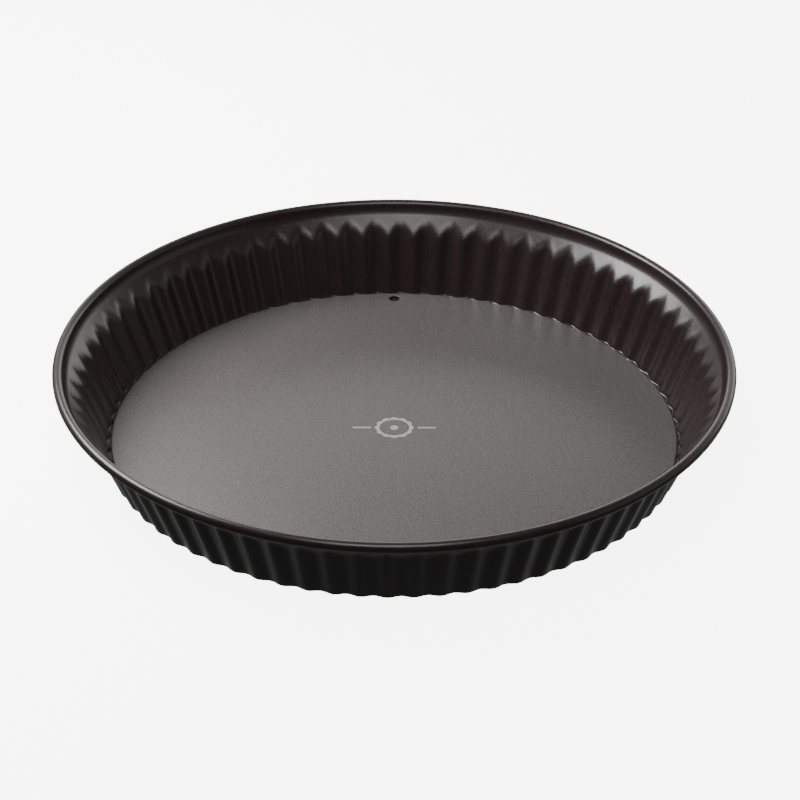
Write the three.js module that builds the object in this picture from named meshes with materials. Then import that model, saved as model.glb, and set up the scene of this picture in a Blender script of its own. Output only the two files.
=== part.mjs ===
// Two-piece fluted tart pan: a deep-drawn steel ring with a rolled rim, and a flat base that lifts out.
// Millimetres, +Z up. The origin is on the axis, in the plane that the pan stands on.
import * as THREE from 'three';

// Driving dimensions.
const SHEET = 0.6;                 // steel thickness of both pieces
const RIM_RADIUS = 146;            // outside of the rolled rim
const PAN_HEIGHT = 39.8;           // floor to the top of the rolled rim
const ROLL_RADIUS = 2.25;          // outside radius of the rim's curl
const ROLL_END_DEG = -135;         // the curl stops here, just short of the collar
const ROLL_STEP_DEG = 45;
const CREASE_RADIUS = 140.3;       // inside, where the plain collar meets the sloping shoulder
const CREASE_HEIGHT = 34.5;
const SHOULDER_DEG = 45;           // lean of the plain shoulder from the vertical
const KNEE_HEIGHT = 31.4;          // the shoulder meets the grooves here
const WALL_DRAFT_DEG = 22.9;       // lean of the grooves from the vertical
const BEND_RADIUS = 1.6;           // outside radius of the bend from the wall to the ledge
const LEDGE_INNER_RADIUS = 112.5;
const FLUTE_COUNT = 72;
const FIRST_GROOVE_DEG = -1.2;     // turn of the first groove from the front
const FLUTE_TOP_DEPTH = 2.2;       // ridge to groove, where the ridges meet the shoulder
const FLUTE_FOOT_DEPTH = 1.3;      // ridge to groove, at the foot of the wall
const BASE_RADIUS = 122.3;
const REST_GAP = 0.3;              // gap between the base and its ledge
const HOLE_RADIUS = 2.5;           // hanging hole in the base
const HOLE_OFFSET = 117.7;         // from the pan's axis to the hole's centre, towards the back
const BASE_SEGMENTS = 144;
const HOLE_SEGMENTS = 24;

const DRAFT = THREE.MathUtils.degToRad(WALL_DRAFT_DEG);
const SHOULDER = THREE.MathUtils.degToRad(SHOULDER_DEG);
const KNEE_RADIUS = CREASE_RADIUS - (CREASE_HEIGHT - KNEE_HEIGHT) * Math.tan(SHOULDER);
const RIDGE_TOP_HEIGHT = KNEE_HEIGHT - FLUTE_TOP_DEPTH / (Math.tan(SHOULDER) - Math.tan(DRAFT));

const ringCoating = new THREE.MeshStandardMaterial({ color: 0x353233, roughness: 0.42, metalness: 0.6 });
const baseCoating = new THREE.MeshStandardMaterial({ color: 0x6f6e6d, roughness: 0.45, metalness: 0.6 });

// One corner of the sheet's section: the radius in a groove, the height, and how far a ridge stands in.
function corner(radius, height, ridgeDepth = 0) {
  return { radius, height, ridgeDepth };
}

// Inside radius of a groove at a height on the wall.
function grooveRadius(height) {
  return KNEE_RADIUS - (KNEE_HEIGHT - height) * Math.tan(DRAFT);
}

// The corners of one side of the rim's curl, from startDeg round to endDeg.
function curlCorners(radius, startDeg, endDeg) {
  const centreRadius = RIM_RADIUS - ROLL_RADIUS;
  const centreHeight = PAN_HEIGHT - ROLL_RADIUS;
  const steps = Math.abs(endDeg - startDeg) / ROLL_STEP_DEG;
  const corners = [];
  for (let i = 0; i <= steps; i++) {
    const angle = THREE.MathUtils.degToRad(startDeg + ((endDeg - startDeg) * i) / steps);
    corners.push(corner(centreRadius + radius * Math.cos(angle), centreHeight + radius * Math.sin(angle)));
  }
  return corners;
}

// The wall's corners on one side of the sheet, from the ledge up to the crease.
// offset is 0 on the inside and SHEET on the outside, measured square to the sheet.
function wallCorners(offset) {
  const out = offset * Math.cos(DRAFT);
  const down = offset * Math.sin(DRAFT);
  const kneeLean = (DRAFT + SHOULDER) / 2;
  const bend = BEND_RADIUS - SHEET + offset;
  const bendLength = (BEND_RADIUS - SHEET) * Math.tan(Math.PI / 4 - DRAFT / 2);
  const ledgeRadius = grooveRadius(SHEET) - bendLength;
  const floorHeight = SHEET - offset;
  return [
    corner(ledgeRadius, floorHeight, FLUTE_FOOT_DEPTH),
    corner(ledgeRadius + bend * Math.cos(DRAFT), floorHeight + bend * (1 - Math.sin(DRAFT)), FLUTE_FOOT_DEPTH),
    corner(grooveRadius(RIDGE_TOP_HEIGHT) + out, RIDGE_TOP_HEIGHT - down, FLUTE_TOP_DEPTH),
    corner(KNEE_RADIUS + offset * Math.cos(kneeLean), KNEE_HEIGHT - offset * Math.sin(kneeLean)),
    corner(CREASE_RADIUS + offset, CREASE_HEIGHT - (offset * Math.sin(SHOULDER)) / 2)
  ];
}

// The ring: its section is turned about the axis, then every second column is pushed in to make a ridge.
function makeFlutedRing() {
  const section = [
    corner(LEDGE_INNER_RADIUS, 0),
    ...wallCorners(SHEET),
    ...curlCorners(ROLL_RADIUS - SHEET, 180, ROLL_END_DEG),
    ...curlCorners(ROLL_RADIUS, ROLL_END_DEG, 180),
    ...wallCorners(0).reverse(),
    corner(LEDGE_INNER_RADIUS, SHEET),
    corner(LEDGE_INNER_RADIUS, 0)
  ];
  const outline = section.map((c) => new THREE.Vector2(c.radius, c.height));
  const columns = 2 * FLUTE_COUNT;
  const geometry = new THREE.LatheGeometry(outline, columns, THREE.MathUtils.degToRad(FIRST_GROOVE_DEG));
  const position = geometry.attributes.position;
  for (let i = 0; i < position.count; i++) {
    const column = Math.floor(i / section.length);
    if (column % 2 === 1) {
      const { radius, ridgeDepth } = section[i % section.length];
      const scale = 1 - ridgeDepth / radius;
      position.setXYZ(i, position.getX(i) * scale, position.getY(i), position.getZ(i) * scale);
    }
  }
  geometry.rotateX(Math.PI / 2);
  const ring = new THREE.Mesh(geometry, ringCoating);
  ring.name = 'fluted_ring';
  return ring;
}

// The base: a flat disc with one hanging hole near its edge, lying on the ring's ledge.
function makeLooseBase() {
  const disc = new THREE.Path();
  disc.absarc(0, 0, BASE_RADIUS, 0, 2 * Math.PI);
  const hole = new THREE.Path();
  hole.absarc(0, HOLE_OFFSET, HOLE_RADIUS, 0, 2 * Math.PI, true);
  const outline = new THREE.Shape(disc.getPoints(BASE_SEGMENTS / 2));
  outline.holes.push(new THREE.Path(hole.getPoints(HOLE_SEGMENTS / 2)));
  const geometry = new THREE.ExtrudeGeometry(outline, { depth: SHEET, bevelEnabled: false });
  const base = new THREE.Mesh(geometry, baseCoating);
  base.name = 'loose_base';
  base.position.z = SHEET + REST_GAP;
  return base;
}

const tartPan = new THREE.Group();
tartPan.add(makeFlutedRing(), makeLooseBase());

export default tartPan;
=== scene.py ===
"""Fluted tart pan with a loose base: the finished ring, base and their coatings, on a pale table."""
import math

import bmesh
import bpy
from mathutils import Matrix, Vector


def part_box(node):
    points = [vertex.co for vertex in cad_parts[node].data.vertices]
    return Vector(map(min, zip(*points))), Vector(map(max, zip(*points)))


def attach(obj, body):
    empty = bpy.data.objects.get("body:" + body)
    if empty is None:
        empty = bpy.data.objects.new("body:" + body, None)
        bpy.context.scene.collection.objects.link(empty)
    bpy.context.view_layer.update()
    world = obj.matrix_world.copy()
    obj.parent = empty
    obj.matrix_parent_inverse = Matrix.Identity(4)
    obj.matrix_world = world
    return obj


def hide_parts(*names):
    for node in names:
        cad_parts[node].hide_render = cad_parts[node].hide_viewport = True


bl_info = {
    "name": "Fluted Tart Pan",
    "version": (1, 0, 0),
    "blender": (4, 5, 0),
    "location": "View3D > Sidebar > Tart Pan",
    "description": "Builds a tart pan with a fluted ring, a rolled rim and a base that lifts out",
    "category": "Add Mesh",
}

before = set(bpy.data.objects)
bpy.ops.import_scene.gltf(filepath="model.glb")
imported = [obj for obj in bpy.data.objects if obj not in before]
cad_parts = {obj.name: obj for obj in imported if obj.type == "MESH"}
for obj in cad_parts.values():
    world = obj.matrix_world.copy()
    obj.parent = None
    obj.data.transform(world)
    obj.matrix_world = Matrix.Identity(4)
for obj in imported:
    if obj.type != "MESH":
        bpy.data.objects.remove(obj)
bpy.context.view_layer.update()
RING_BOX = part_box("fluted_ring")
BASE_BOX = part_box("loose_base")
MM = 0.001
MERGE_DISTANCE = 1e-6


# ---------------------------------------------------------------- sizes and colours a user would change

def length(name, description, default):
    """A length property in metres."""
    return bpy.props.FloatProperty(
        name=name, description=description, default=default, unit="LENGTH", subtype="DISTANCE", precision=5
    )


def angle(name, description, default_deg):
    """An angle property, given in degrees."""
    return bpy.props.FloatProperty(
        name=name, description=description, default=math.radians(default_deg), unit="ROTATION",
        subtype="ANGLE",
    )


def count(name, description, default):
    """A whole number of repeats round a circle."""
    return bpy.props.IntProperty(name=name, description=description, default=default, min=3)


def power(name, description, default_watts):
    """A light's power in watts."""
    return bpy.props.FloatProperty(
        name=name, description=description, default=default_watts, unit="POWER", min=0
    )


def brightness(name, description, default):
    """A plain brightness, with no unit."""
    return bpy.props.FloatProperty(name=name, description=description, default=default, min=0)


def colour(name, description, hex_code):
    """A colour property, given as an sRGB hex code."""
    return bpy.props.FloatVectorProperty(
        name=name, description=description, default=linear(hex_code)[:3], subtype="COLOR", size=3,
        min=0, max=1,
    )


def linear(hex_code):
    """The linear RGBA of an sRGB hex code such as "8c8a86"."""
    channels = []
    for i in (0, 2, 4):
        c = int(hex_code[i:i + 2], 16) / 255
        channels.append(c / 12.92 if c <= 0.04045 else ((c + 0.055) / 1.055) ** 2.4)
    return (*channels, 1.0)


class RingSizes(bpy.types.PropertyGroup):
    """Sizes of the fluted ring."""
    sheet: length("Sheet", "Thickness of the steel", 0.6 * MM)
    rim_radius: length("Rim Radius", "Outside of the rolled rim", RING_BOX[1].x)
    height: length("Height", "Table to the top of the rim", RING_BOX[1].z)
    roll_radius: length("Roll Radius", "Outside radius of the rim's curl", 2.25 * MM)
    crease_radius: length("Crease Radius", "Inside, where the collar meets the shoulder", 140.3 * MM)
    crease_height: length("Crease Height", "Height of that crease", 34.5 * MM)
    shoulder: angle("Shoulder", "Lean of the plain shoulder from the vertical", 45)
    knee_height: length("Knee Height", "Where the shoulder meets a groove", 31.0 * MM)
    knee_round: length("Knee Rounding", "How far the knee is rounded, across the wall", 1.7 * MM)
    draft: angle("Draft", "Lean of the grooves from the vertical", 22.5)
    bend_radius: length("Bend Radius", "Outside radius of the bend at the wall's foot", 1.6 * MM)
    ledge_radius: length("Ledge Radius", "Inner edge of the ledge that the base lies on", 112.5 * MM)
    flutes: count("Flutes", "Number of flutes", 72)
    first_groove: angle("First Groove", "Turn of the first groove from the front", -1.2)
    top_depth: length("Top Depth", "Ridge to groove at the knee", 2.05 * MM)
    foot_depth: length("Foot Depth", "Ridge to groove at the wall's foot", 1.3 * MM)


class BaseSizes(bpy.types.PropertyGroup):
    """Sizes of the loose base."""
    radius: length("Radius", "Edge of the disc", BASE_BOX[1].x)
    underside: length("Underside", "Height of the disc's underside", BASE_BOX[0].z)
    top: length("Top", "Height of the disc's top", BASE_BOX[1].z)
    edge_round: length("Edge Rounding", "Rounding of the stamped edge", 0.2 * MM)
    hole_radius: length("Hole Radius", "Hanging hole", 2.5 * MM)
    hole_offset: length("Hole Offset", "Axis of the pan to the centre of the hole", 117.7 * MM)


class OrnamentSizes(bpy.types.PropertyGroup):
    """Sizes of the print on the base."""
    radius: length("Radius", "Outside of the scalloped ring", 8.5 * MM)
    scallops: count("Scallops", "Scallops round the ring", 12)
    scallop_depth: length("Scallop Depth", "Crest to notch", 0.9 * MM)
    line: length("Line", "Width of the printed lines", 1.1 * MM)
    dot_radius: length("Dot Radius", "Dot in the middle", 1.8 * MM)
    gap: length("Gap", "Ring to bar", 1.6 * MM)
    bar_length: length("Bar Length", "Each bar", 8 * MM)
    offset: length("Offset", "Axis of the pan to the middle of the print", 3 * MM)
    ink: length("Ink", "Thickness of the print", 0.03 * MM)


class Finish(bpy.types.PropertyGroup):
    """Colours of the coatings and the table."""
    ring: colour("Ring Coating", "Brown-black coating of the ring", "251a19")
    base: colour("Base Coating", "Pearl anthracite coating of the base", "5e5a58")
    ornament: colour("Ornament", "Pale print on the base", "cbc5b8")
    table: colour("Table", "Pale matt table top", "f4f4f3")


class Studio(bpy.types.PropertyGroup):
    """Camera and lights."""
    sweep_radius: length("Sweep Radius", "Round table top, up to its pale wall", 5)
    sweep_height: length("Sweep Height", "Height of that wall", 4)
    distance: length("Distance", "Camera to the pan's axis", 1314 * MM)
    elevation: angle("Elevation", "Height of the camera above the table, as an angle", 31.86)
    roll: angle("Roll", "Turn of the camera about its line of sight", 0.2)
    lens: bpy.props.FloatProperty(
        name="Lens", description="Focal length", default=136.1, unit="CAMERA", min=10
    )
    softbox: power("Softbox", "Light above the camera", 7.3)
    left_softbox: power("Left Softbox", "Small light at the left", 6.5)
    backdrop: power("Backdrop", "Low wide light behind", 15)
    side_panel: power("Side Panel", "Light at the right", 1.3)
    room: brightness("Room", "Brightness of the room in front", 0.1)
    room_behind: brightness("Room Behind", "Brightness of the room behind", 0.4)
    bounce: brightness("Bounce", "Room below the table, as the light that the table throws up", 1.3)
    table_glow: brightness("Table Glow", "Light from under the table", 7)


# ---------------------------------------------------------------- helpers

def new_piece(name, mesh, body, node=None):
    """An object of that mesh, riding on a CAD body and, if named, standing for a CAD node."""
    piece = bpy.data.objects.new(name, mesh)
    bpy.context.scene.collection.objects.link(piece)
    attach(piece, body)
    if node:
        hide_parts(node)
    return piece


def add_node(tree, kind, settings=None, inputs=None, links=None):
    """A node with its settings, its input values and its links, given as {input: output socket}."""
    node = tree.nodes.new(kind)
    for key, value in (settings or {}).items():
        setattr(node, key, value)
    for key, value in (inputs or {}).items():
        node.inputs[key].default_value = value
    for key, socket in (links or {}).items():
        tree.links.new(socket, node.inputs[key])
    return node


def arc(centre, radius, start_deg, end_deg, steps):
    """Points (radius, height) along an arc in the section plane."""
    points = []
    for i in range(steps + 1):
        a = math.radians(start_deg + (end_deg - start_deg) * i / steps)
        points.append((centre[0] + radius * math.cos(a), centre[1] + radius * math.sin(a)))
    return points


def spin_wedge(section, start_angle, sweep, columns):
    """A bmesh of a closed section turned through one wedge, and the layer of its wall heights.

    Each corner of the section is (radius, height, wall height).
    """
    bm = bmesh.new()
    layer = bm.verts.layers.float.new("wall_height")
    turn = Matrix.Rotation(start_angle, 4, "Z")
    verts = []
    for radius, height, wall_height in section:
        vert = bm.verts.new(turn @ Vector((radius, 0, height)))
        vert[layer] = wall_height
        verts.append(vert)
    edges = [bm.edges.new((v, verts[i - 1])) for i, v in enumerate(verts)]
    bmesh.ops.spin(bm, geom=verts + edges, cent=(0, 0, 0), axis=(0, 0, 1), angle=sweep, steps=columns)
    return bm, layer


def repeat_round(bm, copies):
    """Copy a wedge round the Z axis until the turn is full, one prime factor at a time."""
    step = 2 * math.pi / copies
    factor = 2
    while copies > 1:
        if copies % factor:
            factor += 1
            continue
        source = bm.verts[:] + bm.edges[:] + bm.faces[:]
        for i in range(1, factor):
            made = bmesh.ops.duplicate(bm, geom=source)["geom"]
            verts = [g for g in made if isinstance(g, bmesh.types.BMVert)]
            bmesh.ops.rotate(bm, verts=verts, cent=(0, 0, 0), matrix=Matrix.Rotation(step * i, 3, "Z"))
        step *= factor
        copies //= factor
    bmesh.ops.remove_doubles(bm, verts=bm.verts, dist=MERGE_DISTANCE)
    bmesh.ops.recalc_face_normals(bm, faces=bm.faces)


def finish_mesh(bm, name, sharp_deg=40):
    """The bmesh as a mesh, shaded smooth, with sharp edges past an angle."""
    for face in bm.faces:
        face.smooth = True
    for edge in bm.edges:
        if len(edge.link_faces) == 2 and edge.calc_face_angle() > math.radians(sharp_deg):
            edge.smooth = False
    mesh = bpy.data.meshes.new(name)
    bm.to_mesh(mesh)
    bm.free()
    return mesh


# ---------------------------------------------------------------- the fluted ring

FLUTE_COLUMNS = 12          # faces across one flute
PLAIN_WALL_STEPS = 8        # faces up the straight part of the wall
BEND_STEPS = 5
CURL_STEPS_INSIDE = 12
CURL_STEPS_OUTSIDE = 18
CURL_END_DEG = -140         # the curl stops here, just short of the collar
FINE_FROM = 0.6             # the rounded knee is cut finely from this share of its height upwards
STEP_INSIDE = 0.5 * MM      # height of those fine faces
STEP_OUTSIDE = 1.0 * MM
CREASE_CLEARANCE = 0.3 * MM  # plain sheet between the last fine face and the crease
CREASE_OUTSIDE_DROP = 0.2 * MM  # the crease is this much lower on the outside
SLOPE_SPAN = 0.1 * MM       # the wall's slope is taken over this much on each side
OFF_THE_WALL = -1           # marks corners that no flute is pressed into


def knee_radius(s):
    """Inside radius where the shoulder meets a groove."""
    return s.crease_radius - (s.crease_height - s.knee_height) * math.tan(s.shoulder)


def wall_radius(s, height, ridge):
    """Inside radius at a height: the shoulder above, the wall below.

    ridge is 0 in a groove and 1 on a ridge.
    """
    shoulder = s.crease_radius - (s.crease_height - height) * math.tan(s.shoulder)
    share = min(max(height / s.knee_height, 0), 1)
    depth = s.foot_depth + (s.top_depth - s.foot_depth) * share
    wall = knee_radius(s) - (s.knee_height - height) * math.tan(s.draft) - depth * ridge
    blend = max(s.knee_round - abs(shoulder - wall), 0)
    return max(shoulder, wall) + blend ** 2 / (4 * s.knee_round)


def wall_section(s, offset, step):
    """Corners from the foot's bend up to the crease: offset is 0 inside and one sheet outside."""
    bend_inside = s.bend_radius - s.sheet
    foot = s.sheet + bend_inside * (1 - math.sin(s.draft))
    centre = (wall_radius(s, foot, 0) - bend_inside * math.cos(s.draft), s.bend_radius)
    bend = arc(centre, bend_inside + offset, -90, -math.degrees(s.draft), BEND_STEPS)
    corners = [(radius, height, foot) for radius, height in bend]
    fine_from = FINE_FROM * s.knee_height
    heights = [foot + (fine_from - foot) * i / PLAIN_WALL_STEPS for i in range(1, PLAIN_WALL_STEPS)]
    fine_steps = round((s.crease_height - CREASE_CLEARANCE - fine_from) / step)
    heights += [fine_from + step * i for i in range(fine_steps)]
    for height in heights:
        rise = wall_radius(s, height + SLOPE_SPAN, 0) - wall_radius(s, height - SLOPE_SPAN, 0)
        slope = math.atan(rise / (2 * SLOPE_SPAN))
        radius = wall_radius(s, height, 0)
        corners.append((radius + offset * math.cos(slope), height - offset * math.sin(slope), height))
    return corners


def ring_section(s):
    """The ring's closed section, up its outside, round the curl and down its inside."""
    roll = (s.rim_radius - s.roll_radius, s.height - s.roll_radius)
    curl = [
        (s.crease_radius + s.sheet, s.crease_height - CREASE_OUTSIDE_DROP),
        *arc(roll, s.roll_radius - s.sheet, 180, CURL_END_DEG, CURL_STEPS_INSIDE),
        *arc(roll, s.roll_radius, CURL_END_DEG, 180, CURL_STEPS_OUTSIDE),
        (s.crease_radius, s.crease_height),
    ]
    return [
        (s.ledge_radius, 0.0, OFF_THE_WALL),
        *wall_section(s, s.sheet, STEP_OUTSIDE),
        *[(radius, height, OFF_THE_WALL) for radius, height in curl],
        *reversed(wall_section(s, 0.0, STEP_INSIDE)),
        (s.ledge_radius, s.sheet, OFF_THE_WALL),
    ]


class TARTPAN_OT_fluted_ring(bpy.types.Operator):
    """Turn one flute of the ring's sheet section, press it, and repeat it round the axis"""
    bl_idname = "tartpan.fluted_ring"
    bl_label = "Fluted Ring"

    def execute(self, context):
        s = context.scene.tartpan_ring
        pitch = 2 * math.pi / s.flutes
        start = s.first_groove - math.pi / 2
        bm, wall_height = spin_wedge(ring_section(s), start, pitch, FLUTE_COLUMNS)
        for v in bm.verts:
            height = v[wall_height]
            if height > 0:
                turn = (math.atan2(v.co.y, v.co.x) - start) / pitch
                ridge = 0.5 * (1 - math.cos(2 * math.pi * turn))
                press = wall_radius(s, height, 0) - wall_radius(s, height, ridge)
                scale = 1 - press / math.hypot(v.co.x, v.co.y)
                v.co.x *= scale
                v.co.y *= scale
        bm.verts.layers.float.remove(wall_height)
        repeat_round(bm, s.flutes)
        mesh = finish_mesh(bm, "fluted_ring_pressed")
        ring = new_piece("fluted_ring_pressed", mesh, "ring", "fluted_ring")
        ring.data.materials.append(ring_coating(context.scene.tartpan_finish))
        return {"FINISHED"}


# ---------------------------------------------------------------- the loose base

DISC_SEGMENTS = 288
HOLE_SEGMENTS = 48
EDGE_SEGMENTS = 3
SHARP_CORNER_DEG = 60       # edges past this angle are the stamped corners
COLUMNS_PER_SCALLOP = 10


class TARTPAN_OT_loose_base(bpy.types.Operator):
    """Stamp the flat base with its rounded edge and hanging hole"""
    bl_idname = "tartpan.loose_base"
    bl_label = "Loose Base"

    def execute(self, context):
        s = context.scene.tartpan_base
        bm = bmesh.new()
        hole_place = Matrix.Translation((0, s.hole_offset, 0))
        bmesh.ops.create_circle(bm, segments=DISC_SEGMENTS, radius=s.radius)
        bmesh.ops.create_circle(bm, segments=HOLE_SEGMENTS, radius=s.hole_radius, matrix=hole_place)
        bmesh.ops.triangle_fill(bm, edges=bm.edges[:], use_beauty=True)
        bmesh.ops.translate(bm, verts=bm.verts, vec=(0, 0, s.underside))
        bmesh.ops.recalc_face_normals(bm, faces=bm.faces)
        made = bmesh.ops.extrude_face_region(bm, geom=bm.faces[:])["geom"]
        top = [g for g in made if isinstance(g, bmesh.types.BMVert)]
        bmesh.ops.translate(bm, verts=top, vec=(0, 0, s.top - s.underside))
        bmesh.ops.recalc_face_normals(bm, faces=bm.faces)
        corners = [e for e in bm.edges if e.calc_face_angle(0) > math.radians(SHARP_CORNER_DEG)]
        bmesh.ops.bevel(
            bm, geom=corners, offset=s.edge_round, segments=EDGE_SEGMENTS, profile=0.5, affect="EDGES",
            material=-1,
        )
        mesh = finish_mesh(bm, "loose_base_stamped", sharp_deg=50)
        base = new_piece("loose_base_stamped", mesh, "base", "loose_base")
        base.data.materials.append(base_coating(context.scene.tartpan_finish))
        return {"FINISHED"}


class TARTPAN_OT_base_ornament(bpy.types.Operator):
    """Print a plain scalloped ring between two bars on the base"""
    bl_idname = "tartpan.base_ornament"
    bl_label = "Base Ornament"

    def execute(self, context):
        s = context.scene.tartpan_ornament
        top = context.scene.tartpan_base.top
        bm = bmesh.new()
        columns = s.scallops * COLUMNS_PER_SCALLOP
        outer = bmesh.ops.create_circle(bm, segments=columns, radius=s.radius)["verts"]
        for v in outer:
            turn = math.atan2(v.co.y, v.co.x) * s.scallops / 2
            v.co *= 1 - (1 - abs(math.cos(turn))) * s.scallop_depth / s.radius
        bmesh.ops.create_circle(bm, segments=columns, radius=s.radius - s.scallop_depth - s.line)
        bmesh.ops.bridge_loops(bm, edges=bm.edges[:])
        bmesh.ops.create_circle(bm, segments=columns, radius=s.dot_radius, cap_ends=True)
        for side in (-1, 1):
            place = Matrix.Translation((side * (s.radius + s.gap + s.bar_length / 2), 0, 0))
            size = Matrix.Diagonal((s.bar_length, s.line, 1, 1))
            bmesh.ops.create_grid(bm, x_segments=1, y_segments=1, size=0.5, matrix=place @ size)
        bmesh.ops.translate(bm, verts=bm.verts, vec=(0, s.offset, top - s.ink / 2))
        bmesh.ops.recalc_face_normals(bm, faces=bm.faces)
        made = bmesh.ops.extrude_face_region(bm, geom=bm.faces[:])["geom"]
        raised = [g for g in made if isinstance(g, bmesh.types.BMVert)]
        bmesh.ops.translate(bm, verts=raised, vec=(0, 0, s.ink))
        bmesh.ops.recalc_face_normals(bm, faces=bm.faces)
        mesh = finish_mesh(bm, "base_ornament_print")
        ornament = new_piece("base_ornament_print", mesh, "base")
        ornament.data.materials.append(ornament_print(context.scene.tartpan_finish))
        return {"FINISHED"}


# ---------------------------------------------------------------- coatings

# Real pearl flecks are under 0.2 mm wide, so they are drawn coarser, to show.
FLECK_MM = 0.7
CLOUD_MM = 38               # broad patches where the spray lies a little thicker
WEAR_MM = 0.8               # patches of worn ink
GLOSS_SPREAD = 0.05         # the gloss wanders by this much in roughness
PEEL_STRENGTH = 0.4
WORN_SHARE = 0.6            # brightness of the worn ink


def new_material(name):
    """A material with its node tree, its shader and its coordinates."""
    material = bpy.data.materials.new(name)
    material.use_nodes = True
    tree = material.node_tree
    return material, tree, tree.nodes["Principled BSDF"], add_node(tree, "ShaderNodeTexCoord")


def coating(name, rgb, metallic, roughness, fleck_share, peel_mm, peel_height_mm):
    """Sprayed, baked non-stick coating: pearl flecks in its colour and gloss, and an orange-peel skin."""
    material, tree, shader, place = new_material(name)
    fleck = add_node(
        tree, "ShaderNodeTexNoise", inputs={"Scale": 1 / (FLECK_MM * MM), "Detail": 2, "Roughness": 0.7},
        links={"Vector": place.outputs["Object"]},
    )
    spread = add_node(
        tree, "ShaderNodeMapRange", inputs={"From Min": 0.3, "From Max": 0.7},
        links={"Value": fleck.outputs["Fac"]},
    )
    dark = (*[c * (1 - fleck_share) for c in rgb], 1)
    light = (*[min(1, c * (1 + fleck_share)) for c in rgb], 1)
    shade = add_node(
        tree, "ShaderNodeMix", {"data_type": "RGBA"}, {6: dark, 7: light}, {0: spread.outputs["Result"]}
    )
    tree.links.new(shade.outputs[2], shader.inputs["Base Color"])
    cloud = add_node(
        tree, "ShaderNodeTexNoise", inputs={"Scale": 1 / (CLOUD_MM * MM), "Detail": 3},
        links={"Vector": place.outputs["Object"]},
    )
    gloss = add_node(
        tree, "ShaderNodeMath", {"operation": "ADD"},
        links={0: cloud.outputs["Fac"], 1: fleck.outputs["Fac"]},
    )
    rough = add_node(
        tree, "ShaderNodeMapRange",
        inputs={
            "From Min": 0.6, "From Max": 1.4,
            "To Min": roughness - GLOSS_SPREAD, "To Max": roughness + GLOSS_SPREAD,
        },
        links={"Value": gloss.outputs["Value"]},
    )
    tree.links.new(rough.outputs["Result"], shader.inputs["Roughness"])
    peel = add_node(
        tree, "ShaderNodeTexNoise", inputs={"Scale": 1 / (peel_mm * MM), "Detail": 1},
        links={"Vector": place.outputs["Object"]},
    )
    bump = add_node(
        tree, "ShaderNodeBump", inputs={"Strength": PEEL_STRENGTH, "Distance": peel_height_mm * MM},
        links={"Height": peel.outputs["Fac"]},
    )
    tree.links.new(bump.outputs["Normal"], shader.inputs["Normal"])
    shader.inputs["Metallic"].default_value = metallic
    return material


def ring_coating(finish):
    """Brown-black non-stick spray on drawn steel: satin, almost black where it mirrors nothing bright."""
    return coating(
        "brown_black_nonstick_spray", tuple(finish.ring), metallic=0, roughness=0.32,
        fleck_share=0.5, peel_mm=0.9, peel_height_mm=0.1,
    )


def base_coating(finish):
    """Pearl anthracite non-stick spray on flat sheet: mid grey with a soft even sheen and fine flecks."""
    return coating(
        "pearl_anthracite_nonstick_spray", tuple(finish.base), metallic=0.3, roughness=0.45,
        fleck_share=0.45, peel_mm=1.1, peel_height_mm=0.05,
    )


def ornament_print(finish):
    """Screen-printed heat-proof ink: pale warm grey and matt, worn where the coating shows through."""
    material, tree, shader, place = new_material("pale_screen_print_ink")
    ink = (*finish.ornament, 1)
    worn = (*[c * WORN_SHARE for c in finish.ornament], 1)
    wear = add_node(
        tree, "ShaderNodeTexNoise", inputs={"Scale": 1 / (WEAR_MM * MM), "Detail": 2},
        links={"Vector": place.outputs["Object"]},
    )
    shade = add_node(
        tree, "ShaderNodeMix", {"data_type": "RGBA"}, {6: worn, 7: ink}, {0: wear.outputs["Fac"]}
    )
    tree.links.new(shade.outputs[2], shader.inputs["Base Color"])
    shader.inputs["Roughness"].default_value = 0.5
    shader.inputs["Metallic"].default_value = 0.6
    return material


def table_top(finish, glow):
    """Matt white laminate, lit a little from below as a product table is: pale and even."""
    material = bpy.data.materials.new("matt_white_laminate")
    material.use_nodes = True
    shader = material.node_tree.nodes["Principled BSDF"]
    shader.inputs["Base Color"].default_value = (*finish.table, 1)
    shader.inputs["Roughness"].default_value = 0.9
    shader.inputs["Specular IOR Level"].default_value = 0.1
    shader.inputs["Emission Color"].default_value = (*finish.table, 1)
    shader.inputs["Emission Strength"].default_value = glow
    return material


# ---------------------------------------------------------------- table, lights and camera

TABLE_SEGMENTS = 96
SENSOR_WIDTH_MM = 36
CLIP_START = 0.01
AIM = (2.5 * MM, 26.1 * MM)  # the camera looks at this point of the base's top
LIGHTS = {
    # name: (its power in the studio's settings, size, place, aim), in metres
    "softbox_above_camera": ("softbox", (0.6, 0.55), (-0.05, -0.6, 1.1), (0, 0, 0)),
    "softbox_left": ("left_softbox", (0.35, 0.3), (-0.42, 0.22, 0.46), (-0.08, 0, 0)),
    "backdrop_glow": ("backdrop", (2.8, 0.75), (0.5, 1.6, 0.47), (0, 0, 0.1)),
    "panel_right": ("side_panel", (1.2, 0.7), (1.2, -0.1, 0.5), (0, 0, 0.03)),
}


def area_light(name, size, watts, place, aim):
    """A rectangular soft light at place, turned to aim."""
    data = bpy.data.lights.new(name, "AREA")
    data.shape = "RECTANGLE"
    data.size, data.size_y = size
    data.energy = watts
    light = bpy.data.objects.new(name, data)
    bpy.context.scene.collection.objects.link(light)
    light.location = place
    light.rotation_euler = (Vector(aim) - Vector(place)).to_track_quat("-Z", "Y").to_euler()


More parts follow.
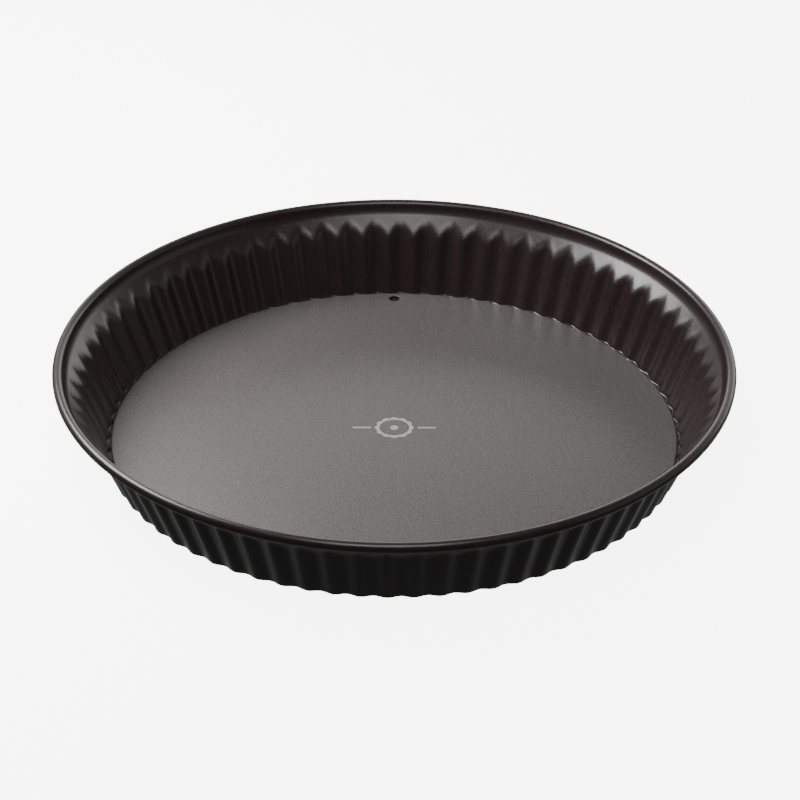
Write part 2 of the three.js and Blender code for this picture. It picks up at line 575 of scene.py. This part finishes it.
def make_table(s, finish):
    """A round table top with a pale wall round it, which the pan's coatings don't mirror."""
    bm = bmesh.new()
    bmesh.ops.create_circle(bm, cap_ends=True, segments=TABLE_SEGMENTS, radius=s.sweep_radius)
    made = bmesh.ops.extrude_edge_only(bm, edges=[e for e in bm.edges if e.is_boundary])["geom"]
    raised = [g for g in made if isinstance(g, bmesh.types.BMVert)]
    bmesh.ops.translate(bm, verts=raised, vec=(0, 0, s.sweep_height))
    table = bpy.data.objects.new("table_top", finish_mesh(bm, "table_top"))
    bpy.context.scene.collection.objects.link(table)
    table.data.materials.append(table_top(finish, s.table_glow))
    table.visible_glossy = False
    table.visible_diffuse = False


def make_room(s):
    """The dim room round the pan: brighter behind it, and brighter below, as the table's bounce."""
    world = bpy.data.worlds.new("studio_room")
    bpy.context.scene.world = world
    world.use_nodes = True
    tree = world.node_tree
    place = add_node(tree, "ShaderNodeTexCoord")
    way = add_node(tree, "ShaderNodeSeparateXYZ", links={"Vector": place.outputs["Generated"]})
    behind = add_node(
        tree, "ShaderNodeMapRange",
        inputs={"From Min": 0.1, "From Max": 0.9, "To Min": s.room, "To Max": s.room_behind},
        links={"Value": way.outputs["Y"]},
    )
    below = add_node(
        tree, "ShaderNodeMapRange",
        inputs={"From Min": -0.8, "From Max": 0, "To Min": s.bounce, "To Max": 1},
        links={"Value": way.outputs["Z"]},
    )
    level = add_node(
        tree, "ShaderNodeMath", {"operation": "MULTIPLY"},
        links={0: behind.outputs["Result"], 1: below.outputs["Result"]},
    )
    background = tree.nodes["Background"]
    background.inputs["Color"].default_value = (1, 1, 1, 1)
    tree.links.new(level.outputs["Value"], background.inputs["Strength"])


def make_camera(s):
    """The camera in front of the pan, looking down on it."""
    data = bpy.data.cameras.new("studio_camera")
    data.lens = s.lens
    data.sensor_width = SENSOR_WIDTH_MM
    data.clip_start = CLIP_START
    camera = bpy.data.objects.new("studio_camera", data)
    bpy.context.scene.collection.objects.link(camera)
    base_top = BASE_BOX[1].z
    back = s.distance * math.cos(s.elevation)
    place = Vector((0, -back, s.distance * math.sin(s.elevation) + base_top))
    aim = Vector((*AIM, base_top))
    turn = (aim - place).to_track_quat("-Z", "Y").to_matrix() @ Matrix.Rotation(s.roll, 3, "Z")
    camera.location = place
    camera.rotation_euler = turn.to_euler()
    bpy.context.scene.camera = camera


class TARTPAN_OT_studio(bpy.types.Operator):
    """Make the table, the lights, the room and the camera"""
    bl_idname = "tartpan.studio"
    bl_label = "Studio"

    def execute(self, context):
        s = context.scene.tartpan_studio
        make_table(s, context.scene.tartpan_finish)
        for name, (power_name, size, place, aim) in LIGHTS.items():
            area_light(name, size, getattr(s, power_name), place, aim)
        make_room(s)
        make_camera(s)
        return {"FINISHED"}


# ---------------------------------------------------------------- panel and registration

class TARTPAN_PT_panel(bpy.types.Panel):
    """The pan's pieces and sizes"""
    bl_idname = "TARTPAN_PT_panel"
    bl_label = "Tart Pan"
    bl_space_type = "VIEW_3D"
    bl_region_type = "UI"
    bl_category = "Tart Pan"

    def draw(self, context):
        for key, operator in PANEL_ROWS.items():
            group = getattr(context.scene, key)
            box = self.layout.box()
            for name in group.__annotations__:
                box.prop(group, name)
            if operator:
                box.operator(operator.bl_idname)


PANEL_ROWS = {
    "tartpan_ring": TARTPAN_OT_fluted_ring,
    "tartpan_base": TARTPAN_OT_loose_base,
    "tartpan_ornament": TARTPAN_OT_base_ornament,
    "tartpan_finish": None,
    "tartpan_studio": TARTPAN_OT_studio,
}
CLASSES = (
    RingSizes, BaseSizes, OrnamentSizes, Finish, Studio,
    TARTPAN_OT_fluted_ring, TARTPAN_OT_loose_base, TARTPAN_OT_base_ornament, TARTPAN_OT_studio,
    TARTPAN_PT_panel,
)
SCENE_GROUPS = {
    "tartpan_ring": RingSizes, "tartpan_base": BaseSizes, "tartpan_ornament": OrnamentSizes,
    "tartpan_finish": Finish, "tartpan_studio": Studio,
}


def register():
    for cls in CLASSES:
        bpy.utils.register_class(cls)
    for name, group in SCENE_GROUPS.items():
        setattr(bpy.types.Scene, name, bpy.props.PointerProperty(type=group))


def unregister():
    for name in SCENE_GROUPS:
        delattr(bpy.types.Scene, name)
    for cls in reversed(CLASSES):
        bpy.utils.unregister_class(cls)


def main():
    """Build everything."""
    register()
    bpy.ops.tartpan.studio()
    bpy.ops.tartpan.fluted_ring()
    bpy.ops.tartpan.loose_base()
    bpy.ops.tartpan.base_ornament()


if __name__ == "__main__":
    main()
